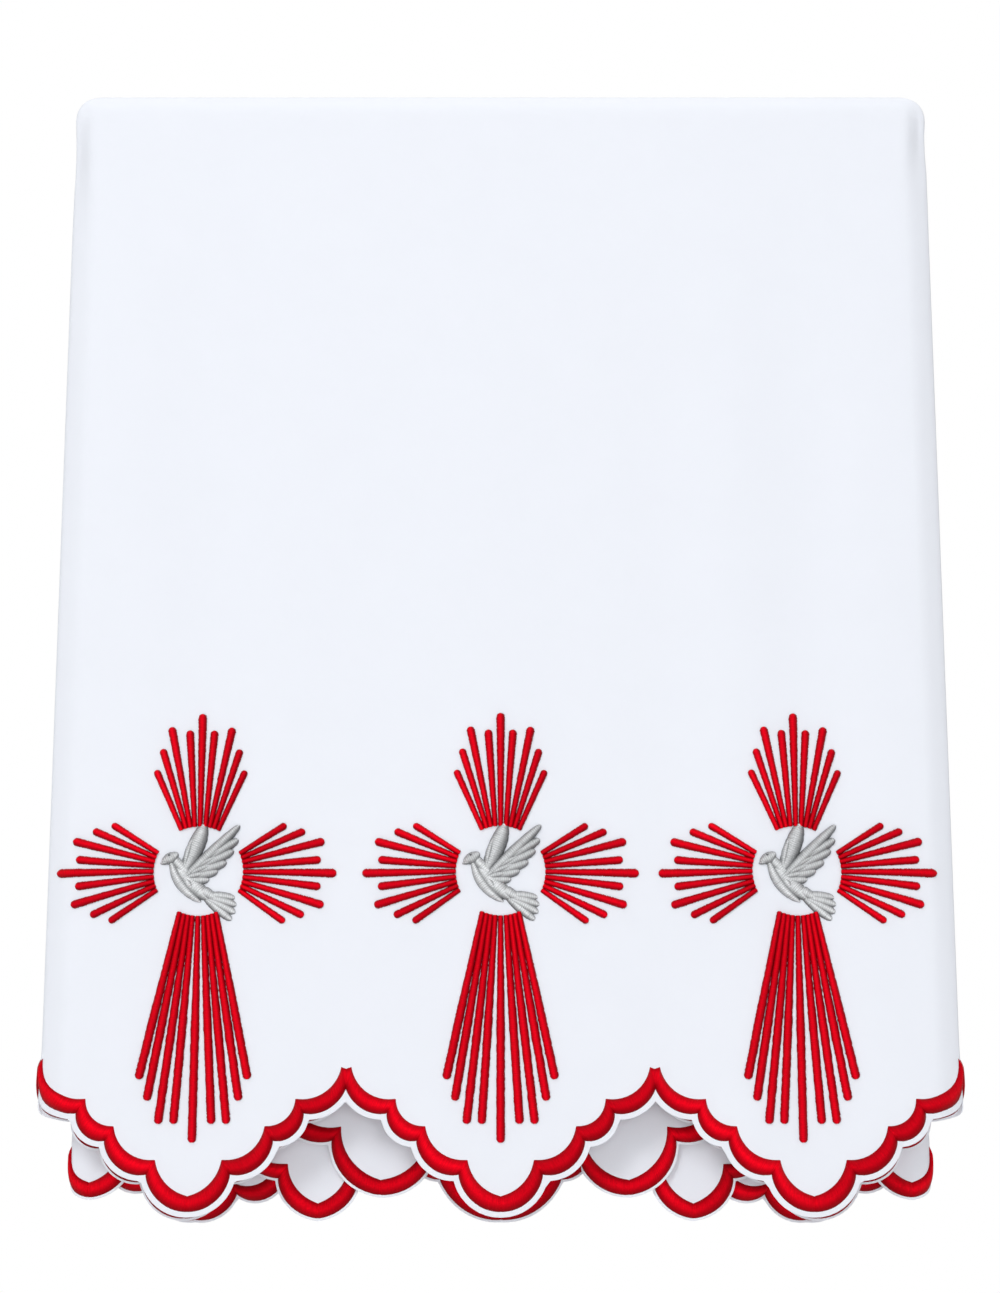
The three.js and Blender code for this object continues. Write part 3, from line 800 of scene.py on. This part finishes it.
class Dresser:
    """Makes a named mesh of quads, dresses it and puts it on the part's body."""

    def add(self, name: str, points: Array, faces: Array, stitch: Array, layer: str,
            finish: Material, slot: str, nodes: tuple[str, ...], flat: int = 0,
            sheen: Array | None = None) -> Piece:
        """Adds one piece.

        Args:
            name: the piece's name.
            points: its points in mm, one row each.
            faces: four point numbers to a row.
            stitch: what its pattern follows, one row a point, in mm.
            layer: name of that attribute.
            finish: its material.
            slot: the name of a material slot; not used.
            nodes: the solids that it stands for.
            flat: how many of the last faces are flat shaded.
            sheen: how much highlight is painted on its threads, 0 to 1, one a point.

        Returns:
            The new object.
        """
        a, b, c, d = (points[faces[:, i]] for i in range(4))
        volume = np.einsum("ij,ij->", a, np.cross(b, c)) + np.einsum("ij,ij->", a, np.cross(c, d))
        if volume < 0:
            faces = faces[:, ::-1]
        mesh = bpy.data.meshes.new(name)
        mesh.vertices.add(len(points))
        mesh.vertices.foreach_set("co", (points * MM).astype(np.float32).ravel())
        mesh.loops.add(faces.size)
        mesh.loops.foreach_set("vertex_index", faces.astype(np.int32).ravel())
        mesh.polygons.add(len(faces))
        mesh.polygons.foreach_set("loop_start", np.arange(0, faces.size, 4, dtype=np.int32))
        mesh.polygons.foreach_set("use_smooth", np.arange(len(faces)) < len(faces) - flat)
        marks = mesh.attributes.new(layer, "FLOAT_VECTOR", "POINT")
        marks.data.foreach_set("vector", stitch.astype(np.float32).ravel())
        if sheen is not None:
            # Painted highlight, one value a point.
            painted_sheen = mesh.attributes.new("sheen", "FLOAT", "POINT")
            painted_sheen.data.foreach_set("value", sheen.astype(np.float32).ravel())
        mesh.update()
        mesh.validate()
        piece = bpy.data.objects.new(name, mesh)
        bpy.context.scene.collection.objects.link(piece)
        mesh.materials.append(finish)
        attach(piece, BODY)
        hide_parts(*nodes)
        LOG.info("%s: %d faces", name, len(faces))
        return piece

    def add_satin(self, name: str, points: Array, marks: Array, sheen: Array, finish: Material,
                  slot: str, nodes: tuple[str, ...]) -> Piece:
        """Adds one piece of closed satin strips, whose points are strips x rings x around x 3."""
        return self.add(name, points.reshape(-1, 3), tube_faces(*points.shape[:3]),
                        marks.reshape(-1, 3), "stitch", finish, slot, nodes, sheen=sheen)


def painted_sheen_share(thread: Array) -> Array:
    """Squared cosine between threads, as x and z, and the diagonal along which a highlight is painted
    on satin.
    """
    return (thread @ np.array(PAINTED_SHEEN_DIAGONAL)) ** 2


def tube_faces(strips: int, rings: int, around: int) -> Array:
    """Quads of closed tubes, each rings x around points, with both ends closed by strips of quads.

    An end is closed by pairing the points of one side of its ring with those of the other.

    Args:
        strips: how many tubes.
        rings: rings to a tube.
        around: points round a ring, an even number.

    Returns:
        Four point numbers to a row.
    """
    ring, spoke = np.meshgrid(np.arange(rings - 1), np.arange(around), indexing="ij")
    next_spoke = (spoke + 1) % around
    near, far = ring * around, (ring + 1) * around
    wall = np.stack([near + spoke, near + next_spoke, far + next_spoke, far + spoke], axis=-1)
    k = np.arange(around // 2 - 1)
    cap = np.stack([k, around - 1 - k, around - 2 - k, k + 1], axis=-1)
    one = np.concatenate([wall.reshape(-1, 4), cap[:, ::-1], cap + (rings - 1) * around])
    return (one[None] + np.arange(strips)[:, None, None] * rings * around).reshape(-1, 4)


@dataclass
class ClothSheet:
    """The white cloth itself, a thin closed sheet on its folds, out to the hem's white rim."""

    cloth: FoldedCloth
    front: HemLine
    rear: HemLine
    front_rim: float = 2.6
    flap_rim: float = 0.8
    rear_rim: float = 1.0
    edge_row: float = 0.4
    rim_row: float = 3.4
    rim_fall: float = 0.55
    per_arc: int = 9
    hem_rows: int = 4
    crown_rows: tuple[int, int] = (18, 7)
    crown_front: float = 25.0
    # Places along the hang of the rows before and behind the crown.
    front_rows: tuple[float, ...] = (-487, -380, -270, -170, -100, -65, -45, -30, -18, -8)
    rear_rows: tuple[float, ...] = (7, 18, 40, 70, 140, 300, 487)
    column_gap: float = 4.0
    least_gap: float = 0.34
    fold_columns: int = 15
    behind_over: float = 12.0

    def columns(self) -> Array:
        """Places along the section: close at the scallops' steep parts and round the folds.

        Returns:
            Lengths along the section in mm, each past the one before.
        """
        end = self.cloth.return_end
        picks = [np.arange(-end, end, self.column_gap), np.array([-end, end])]
        for hem in (self.front, self.rear):
            centre, radius, start, sweep = hem.arcs(hem.outer[:-1], hem.outer[1:])
            angle = start[:, None] + sweep[:, None] * np.linspace(0, 1, self.per_arc)
            picks.append((centre[:, :1] + (radius[:, None] + self.rear_rim) * np.cos(angle)).ravel())
        for low, high in ((self.cloth.panel_end, self.cloth.flap_start),
                          (self.cloth.flap_end, self.cloth.return_start)):
            fold = np.linspace(low, high, self.fold_columns)
            picks += [fold, -fold]
        u = np.unique(np.concatenate(picks).clip(-end, end))
        keep = np.concatenate([[True], np.diff(u) > self.least_gap])
        keep[-1] = True
        return u[keep]

    def build(self, dresser: Dresser, finish: Material) -> Piece:
        """Builds the sheet: each column runs from the front rim over the top to the rear rim.

        Args:
            dresser: adds the piece.
            finish: its material.

        Returns:
            The sheet.
        """
        cloth, u = self.cloth, self.columns()
        behind = smooth((np.abs(u) - cloth.panel_end - cloth.side_arc / 2) / self.behind_over)
        front_rim = self.front_rim + (self.flap_rim - self.front_rim) * behind
        v_front = cloth.v_of(self.front.rim(u, front_rim), Half.FRONT)
        v_rear = cloth.v_of(self.rear.rim(u, np.full(len(u), self.rear_rim)), Half.REAR)
        fixed = np.concatenate([
            self.front_rows,
            np.linspace(0, self.crown_front, self.crown_rows[0], endpoint=False),
            np.linspace(self.crown_front, cloth.crown_length, self.crown_rows[1]),
            cloth.crown_length + np.array(self.rear_rows)])
        share = np.linspace(0, 1, self.hem_rows, endpoint=False)[1:, None]
        rows = np.concatenate([
            [v_front, v_front + self.edge_row, v_front + self.rim_row],
            v_front + (fixed[0] - v_front) * share,
            np.broadcast_to(fixed[:, None], (len(fixed), len(u))),
            (v_rear + (fixed[-1] - v_rear) * share)[::-1],
            [v_rear - self.edge_row, v_rear]])
        across = np.broadcast_to(u, rows.shape)
        sides = [cloth.off(across, rows, np.full(rows.shape, distance))
                 for distance in (cloth.thickness / 2, -cloth.thickness / 2)]
        # The first two rows, the front half's edge, fall back from the border.
        for side in sides:
            side[:2, :, 1] += self.rim_fall * (1 - behind)
        count = rows.size
        number = np.arange(count).reshape(rows.shape)
        quads = np.stack([number[:-1, :-1], number[:-1, 1:], number[1:, 1:], number[1:, :-1]], -1)
        quads = quads.reshape(-1, 4)
        loop = np.concatenate([number[0, :], number[1:, -1], number[-1, -2::-1], number[-2:0:-1, 0]])
        after = np.roll(loop, -1)
        wall = np.stack([loop, loop + count, after + count, after], axis=-1)
        faces = np.concatenate([quads, quads[:, ::-1] + count, wall])
        points = np.concatenate([side.reshape(-1, 3) for side in sides])
        marks = np.stack([across, rows, 0 * rows], axis=-1).reshape(-1, 3)
        return dresser.add("cloth_sheet", points, faces, np.concatenate([marks, marks]), "weave",
                           finish, "cloth", ("cloth",), len(wall))


@dataclass
class SatinBorder:
    """The satin border along one hem: threads from its upper to its lower edge, domed."""

    cloth: FoldedCloth
    hem: HemLine
    half: Half
    node: str
    edge_height: float = 0.45
    dome: float = 1.6
    mitre_share: float = 0.3
    mitre_width: float = 0.7
    per_arc: int = 18
    around: int = 16

    def build(self, dresser: Dresser, finish: Material) -> Piece:
        """Builds the border as a closed strip round the cloth's edge.

        Each ring joins the two edges at the same share of the same scallop; its height above the
        cloth is the edge's times the root of a sine plus the dome's times its square. A bell
        lowers it at the mitre between two scallops.

        Args:
            dresser: adds the piece.
            finish: its material.

        Returns:
            The border.
        """
        outer = self.hem.trace(self.hem.outer[:-1], self.hem.outer[1:], self.per_arc)
        inner = self.hem.trace(self.hem.inner_starts, self.hem.inner_ends, self.per_arc)
        angle = 2 * np.pi * (np.arange(self.around) + 0.5) / self.around
        share, sine = (1 - np.cos(angle)) / 2, np.sin(angle)
        height = np.sign(sine) * (self.edge_height * np.sqrt(np.abs(sine)) + self.dome * sine ** 2)
        flat = inner[:, None] + (outer - inner)[:, None] * share[None, :, None]
        v = self.cloth.v_of(flat[..., 1], self.half)
        middle = (outer + inner) / 2
        length = np.concatenate([[0], np.cumsum(np.linalg.norm(np.diff(middle, axis=0), axis=1))])
        seam = np.abs(length[:, None] - length[self.per_arc::self.per_arc + 1][None]).min(axis=1)
        low = 1 - self.mitre_share * np.exp(-((seam / self.mitre_width) ** 2))
        points = self.cloth.off(flat[..., 0], v, height * low[:, None])
        width = np.linalg.norm(outer - inner, axis=1)
        # The share across grows towards the lower edge, which the satin finish paints in shade.
        marks = np.stack(
            np.broadcast_arrays(length[:, None], width[:, None] * share, 2 * share - 1), axis=-1)
        # Threads along the diagonal get a painted highlight.
        sheen = np.repeat(painted_sheen_share((outer - inner) / width[:, None]), self.around)
        return dresser.add_satin(f"{self.half.value}_satin_border", points[None], marks, sheen,
                                 finish, "satin_red", (self.node,))


@dataclass
class SatinStrips:
    """Raised satin columns on the front panel, each a domed strip with drawn-in ends."""

    cloth: FoldedCloth
    seat: float = 0.3
    around: int = 12
    widens_over: float = 55.0
    square_root: float = 0.5
    roundness: float = 1.2
    end_share: float = 0.0015
    leaf_power: float = 0.75
    lift_power: float = 0.6
    underside: float = 0.25
    pattern_apart: float = 37.0
    # Towards the lower right, as x and z: the side, away from the light, that gets painted shade.
    painted_shade_side: tuple[float, float] = (0.6, -0.8)

    def rings(self, start: Array, end: Array, width: Array, root: float,
              height: Array, taper: Array, rings: int, bend: Array, rough: float,
              seed: int) -> tuple[Array, ...]:
        """Points, pattern places and painted sheen of several strips.

        A strip's half width is its width times how round its ends are, and its height follows a
        sine across it. The centre line bends as a parabola. The share across is above 0 on the
        strip's right or lower side, away from the light, which the satin finish paints in shade.

        Args:
            start: root of each strip on the panel, x and z.
            end: tip of each strip.
            width: full width of each strip.
            root: width at the root as a share of the full width.
            height: height of each strip's crown.
            taper: 0 for a column with a square root and a round tip, 1 for a leaf, one for each.
            rings: rings to a strip.
            bend: sideways bend of each strip's middle.
            rough: unevenness of the stitched edge.
            seed: seed of that unevenness.

        Returns:
            Points in mm and pattern places, both strips x rings x around x 3, and each point's
            painted sheen.
        """
        line = end - start
        length = np.linalg.norm(line, axis=1)
        line = line / length[:, None]
        left = np.stack([-line[:, 1], line[:, 0]], axis=1)
        ease = (1 - np.cos(np.pi * np.arange(rings) / (rings - 1))) / 2
        t = (0.5 * ease + 0.5 * np.linspace(0, 1, rings)).clip(self.end_share, 1 - self.end_share)
        along = t[None] * length[:, None]
        half = width[:, None] / 2 * (root + (1 - root) * np.minimum(along / self.widens_over, 1))
        tip = np.minimum((length[:, None] - along) / half, 1)
        foot = np.minimum(along / self.square_root, 1)
        round_tip, round_foot = (np.sqrt(np.maximum(1 - (1 - end) ** 2, 0)) for end in (tip, foot))
        capsule = round_tip * round_foot
        leaf = np.sin(np.pi * t[None]) ** self.leaf_power
        shape = capsule + (leaf - capsule) * taper[:, None]
        wobble = 1 + rough * np.random.default_rng(seed).standard_normal((len(start), rings, 2))
        angle = 2 * np.pi * (np.arange(self.around) + 0.5) / self.around
        across, sine = np.cos(angle), np.sin(angle)
        side = np.where(across > 0, wobble[..., :1], wobble[..., 1:])
        offset = half[..., None] * shape[..., None] * across * side
        offset = offset + (bend[:, None] * 4 * t * (1 - t))[..., None]
        crown = np.where(sine > 0, np.abs(sine) ** self.roundness, -self.underside * np.abs(sine))
        raised = height[:, None, None] * shape[..., None] ** self.lift_power * crown
        lift = self.cloth.thickness / 2 + self.seat + raised
        flat = (start[:, None, None] + line[:, None, None] * along[..., None, None]
                + left[:, None, None] * offset[..., None])
        u, v = self.cloth.on_front(flat[..., 0], flat[..., 1])
        points = self.cloth.off(u, v, lift)
        apart = np.arange(len(start))[:, None, None] * self.pattern_apart
        # Turns the share across so that it is above 0 on the side that gets painted shade.
        lower = np.sign(left @ np.array(self.painted_shade_side))[:, None, None]
        marks = np.stack(
            np.broadcast_arrays(along[..., None] + apart, offset, across * side * lower), axis=-1)
        sheen = np.repeat(painted_sheen_share(left), rings * self.around)
        return points, marks, sheen


@dataclass
class RayedCross:
    """One cross: four fans of nine satin rays round a ring that frames the dove, in mm."""

    cloth: FoldedCloth
    place: str
    centre_x: float
    centre_z: float = -422.4
    ray_width: float = 4.5
    side_ray_width: float = 5.0
    root_width: float = 2.7
    side_root_drop: float = 0.5
    side_tip_drop: float = 1.4
    ray_height: float = 1.35
    ring_radius: float = 22.6
    root_offsets: tuple[float, ...] = (0, 2.7, 4.9, 7, 9.2)
    rings: int = 110
    rough: float = 0.04
    first_seed: int = 11
    # Reach of the rays' tips from the centre and their distance from the fan's middle, the
    # middle ray first.
    side_rays: tuple[tuple[float, ...], tuple[float, ...]] = (
        (70.3, 62.3, 64, 54, 44.4), (0, 6.9, 16.4, 21.7, 24.8))
    top_rays: tuple[tuple[float, ...], tuple[float, ...]] = (
        (81.2, 72.5, 74, 62.5, 51.5), (0, 6.4, 15.7, 20, 22.9))
    bottom_rays: tuple[tuple[float, ...], tuple[float, ...]] = (
        (135.6, 126.4, 126.4, 115, 104.5), (0, 9.5, 17.1, 23, 27.3))

    def build(self, dresser: Dresser, finish: Material) -> None:
        """Builds the four fans, one piece each.

        Roots lie on a ring, at a distance that is the root of its radius squared less the ray's
        offset squared. A fan is drawn to the right and turned by quarters.

        Args:
            dresser: adds the pieces.
            finish: their material.
        """
        fans = {"top": (1, self.top_rays), "left": (2, self.side_rays),
                "bottom": (3, self.bottom_rays), "right": (0, self.side_rays)}
        outermost = len(self.root_offsets) - 1
        ray = np.arange(-outermost, outermost + 1)
        away, side, rays = np.abs(ray), np.sign(ray), len(ray)
        for name, (quarter, (reach, spread)) in fans.items():
            lateral = side * np.array(self.root_offsets)[away]
            root = np.stack([np.sqrt(self.ring_radius ** 2 - lateral ** 2), lateral], axis=1)
            tip = np.stack([np.array(reach)[away], side * np.array(spread)[away]], axis=1)
            turn = quarter * np.pi / 2
            spin = np.array([[np.cos(turn), np.sin(turn)], [-np.sin(turn), np.cos(turn)]])
            centre = np.array([self.centre_x, self.centre_z])
            sideways = name in ("left", "right")
            width = self.side_ray_width if sideways else self.ray_width
            root_drop = np.array([0.0, self.side_root_drop]) * sideways
            tip_drop = np.array([0.0, self.side_tip_drop]) * sideways
            stitching = SatinStrips(self.cloth).rings(
                root @ spin + centre - root_drop, tip @ spin + centre - tip_drop,
                np.full(rays, width), self.root_width / width, np.full(rays, self.ray_height),
                np.zeros(rays), self.rings, np.zeros(rays), self.rough, quarter + self.first_seed)
            dresser.add_satin(f"{self.place}_{name}_rays", *stitching, finish, "satin_red",
                              (f"{self.place}_cross_{name}_rays",))


@dataclass
class StitchedDove:
    """A plain dove in silver satin: leaves of stitching laid over one another, in mm."""

    cloth: FoldedCloth
    place: str
    centre_x: float
    centre_z: float = -422.4
    rings: int = 26
    rough: float = 0.025
    seed: int = 5
    # Root x and z and tip x and z from the centre, width, height, bend, and taper.
    leaves: tuple[tuple[float, ...], ...] = (
        (3, -12.5, 18.8, -13.8, 4.4, 1.1, 0.6, 0.45),
        (3, -13, 19.7, -17.4, 5.0, 1.2, 0.3, 0.45),
        (3, -13, 19.2, -21.4, 5.0, 1.1, 0.0, 0.45),
        (3, -13, 17.4, -25.0, 4.8, 1.0, -0.3, 0.45),
        (-7.2, 0.4, 2.6, 24.5, 9.2, 2.0, -0.5, 0.6),
        (-7.4, 1.2, -3.4, 17.0, 3.4, 2.3, 0.6, 0.9),
        (-14.3, 4.7, -19.6, 3.5, 2.2, 1.4, 0.0, 0.8),
        (-3, -3, -14.5, 9, 6.2, 1.6, 1.2, 0.8),
        (-10.6, 8.9, -18.9, 4.6, 6.4, 2.1, 0.7, 0.85),
        (-3, -8.5, 10, -14.6, 6.4, 1.6, 0.4, 0.9),
        (-12.5, 4, 6.5, -15.0, 9.6, 1.9, -1.2, 0.9),
        (-14.6, 6, 1.5, -16, 6.0, 2.0, -2.8, 0.8),
        (-6.6, -4.2, -3.4, -9.0, 4.4, 2.5, 0.0, 0.6),
        (-6, -4, 5.4, -4.4, 4.8, 1.9, -0.5, 0.4),
        (-4, -2.5, 9.8, 0, 5.2, 2.0, -0.4, 0.4),
        (-2, -0.5, 14.2, 4.6, 5.4, 2.1, -0.3, 0.4),
        (0, 2, 17.8, 10.4, 5.4, 2.2, -0.2, 0.4),
        (2, 5, 20.0, 16, 5.4, 2.3, 0.0, 0.4),
        (-6.5, -3.4, 3.5, -1.4, 4.0, 2.4, 0.3, 0.6),
        (-5, -1.6, 6.5, 3.0, 4.0, 2.5, 0.3, 0.6),
        (-3, 0.8, 9.5, 7.4, 4.0, 2.6, 0.4, 0.6),
        (-0.5, 4, 13, 12, 4.0, 2.7, 0.4, 0.6),
        (-7.4, -3.4, 20.6, 23.3, 6.0, 2.9, -0.2, 0.6),
    )
    eye: tuple[float, ...] = (-16.0, 8.0, -14.5, 7.6, 1.2, 2.45, 0.0, 0.5)

    def stitched(self, name: str, table: Array, dresser: Dresser, finish: Material,
                 nodes: tuple[str, ...]) -> Piece:
        """Builds one piece of several closed leaves.

        Args:
            name: the piece's name after its place.
            table: rows as in the leaves.
            dresser: adds the piece.
            finish: its material.
            nodes: the solids that it stands for.

        Returns:
            The piece.
        """
        centre = np.array([self.centre_x, self.centre_z])
        width, height, bend, taper = table[:, 4:].T
        stitching = SatinStrips(self.cloth).rings(
            table[:, 0:2] + centre, table[:, 2:4] + centre, width, 1.0, height, taper, self.rings,
            bend, self.rough, self.seed)
        return dresser.add_satin(f"{self.place}_{name}", *stitching, finish, "satin_silver", nodes)

    def build(self, dresser: Dresser, finish: Material,
              eye_finish: Material) -> None:
        """Builds the dove and its eye, a dark stitch."""
        self.stitched("stitched_dove", np.array(self.leaves, float), dresser, finish,
                      (f"{self.place}_dove",))
        self.stitched("dove_eye", np.array([self.eye], float), dresser, eye_finish, ())


@dataclass(frozen=True)
class Lamp:
    """A square area light: place and size in metres, power in watts."""

    name: str
    place: Triple
    size: float
    power: float

    def build(self, aim: Triple) -> Piece:
        """Adds the light, turned towards a point by two arc tangents.

        Args:
            aim: the point.

        Returns:
            The light's object.
        """
        lamp = bpy.data.lights.new(self.name, "AREA")
        lamp.size, lamp.energy = self.size, self.power
        light = bpy.data.objects.new(self.name, lamp)
        bpy.context.scene.collection.objects.link(light)
        x, y, z = (place - towards for place, towards in zip(self.place, aim))
        light.location = self.place
        light.rotation_euler = (math.atan2(math.hypot(x, y), z), 0.0, math.atan2(x, -y))
        return light


@dataclass
class Studio:
    """Pale floor and room, soft light and the camera at the photo's viewing angle, in metres."""

    floor_z: float = -1.0
    floor_half: float = 6.0
    floor_colour: tuple[float, float, float, float] = (0.9, 0.9, 0.9, 1.0)
    camera_place: Triple = (-0.0003, -1.2349, -0.5561)
    camera_pitch: float = 11.6
    lens: float = 66.82
    sensor: float = 36.0
    room: float = 0.5
    # Y of the view direction from which the room grows brighter, and at which it is white.
    room_whitens: tuple[float, float] = (0.66, 0.84)
    aim: Triple = (0.0, 0.0, -0.35)
    lamps: tuple[Lamp, ...] = (
        Lamp("key", (-1.1, -3.2, 1.6), 1.2, 42.0),
        Lamp("fill", (0.2, -3.3, -0.8), 1.4, 42.0),
        Lamp("top", (0.0, 0.1, 1.6), 1.0, 10.0),
    )

    def world(self) -> bpy.types.World:
        """The room: dim in front and white behind, by a smooth step on the view direction's Y.

        Returns:
            The world.
        """
        tree = Shader(bpy.data.worlds.new("pale_room"))
        way = tree.node("ShaderNodeTexCoord", {}, {}, "Generated")
        depth = tree.node("ShaderNodeSeparateXYZ", {}, {0: way}, "Y")
        light = tree.node("ShaderNodeBackground", {},
                          {"Color": (1.0, 1.0, 1.0, 1.0),
                           "Strength": tree.step(depth, *self.room_whitens, self.room)})
        tree.node("ShaderNodeOutputWorld", {}, {"Surface": light})
        return tree.owner

    def floor(self) -> Piece:
        """The pale square floor.

        Returns:
            The floor's object.
        """
        size, z = self.floor_half, self.floor_z
        mesh = bpy.data.meshes.new("floor")
        mesh.from_pydata([(-size, -size, z), (size, -size, z), (size, size, z), (-size, size, z)], [],
                         [(0, 1, 2, 3)])
        tree = Shader(bpy.data.materials.new("pale_floor"))
        mesh.materials.append(tree.finish({"Base Color": self.floor_colour, "Roughness": 0.9}))
        floor = bpy.data.objects.new("floor", mesh)
        bpy.context.scene.collection.objects.link(floor)
        return floor

    def camera(self) -> Piece:
        """The camera, tipped up from level by its pitch.

        Returns:
            The camera's object.
        """
        lens = bpy.data.cameras.new("camera")
        lens.lens, lens.sensor_width, lens.sensor_fit = self.lens, self.sensor, "AUTO"
        camera = bpy.data.objects.new("camera", lens)
        camera.location = self.camera_place
        camera.rotation_euler = (math.radians(90 + self.camera_pitch), 0.0, 0.0)
        bpy.context.scene.collection.objects.link(camera)
        return camera

    def build(self) -> None:
        """Builds the room, the floor, the lights and the camera."""
        scene = bpy.context.scene
        scene.view_settings.view_transform = "Standard"
        scene.world = self.world()
        self.floor()
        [lamp.build(self.aim) for lamp in self.lamps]
        scene.camera = self.camera()


def main() -> None:
    """Builds the cloth, its borders, crosses and doves, then the studio."""
    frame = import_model()
    LOG.info("%d solids", len(frame["nodes"]))
    white = WovenFinish().material()
    # Both satins paint shade on their edges and lower sides and a highlight along one diagonal; the
    # silver paints more shade on its lower side.
    red = SatinFinish(name="red_satin", colour=(1.0, 0.001, 0.013), shade=(0.14, 0.0, 0.002),
                      glint=(1.0, 0.03, 0.05)).material()
    silver = SatinFinish(name="silver_satin", colour=(0.86, 0.88, 0.90), shade=(0.10, 0.105, 0.11),
                         glint=(1.0, 1.0, 1.0), thread_pitch=1.1, bump=1.0, bump_depth=0.0004,
                         edge_shade_power=1.8, lower_shade=0.75, sheen=0.2, body=0.42).material()
    dark = SatinFinish(name="dark_satin", colour=(0.16, 0.17, 0.18), shade=(0.05, 0.05, 0.06),
                       glint=(1.0, 1.0, 1.0)).material()
    cloth = FoldedCloth()
    hems = Hems(cloth)
    front, rear = hems.front(), hems.rear()
    dresser = Dresser()
    sheet = ClothSheet(cloth, front, rear).build(dresser, white)
    borders = [SatinBorder(cloth, front, Half.FRONT, "front_hem_border").build(dresser, red),
               SatinBorder(cloth, rear, Half.REAR, "rear_hem_border").build(dresser, red)]
    for place, centre_x in CROSS_CENTRES.items():
        RayedCross(cloth, place, centre_x).build(dresser, red)
        StitchedDove(cloth, place, centre_x).build(dresser, silver, dark)
    Studio().build()


if __name__ == "__main__":
    logging.basicConfig(level=logging.INFO)
    main()
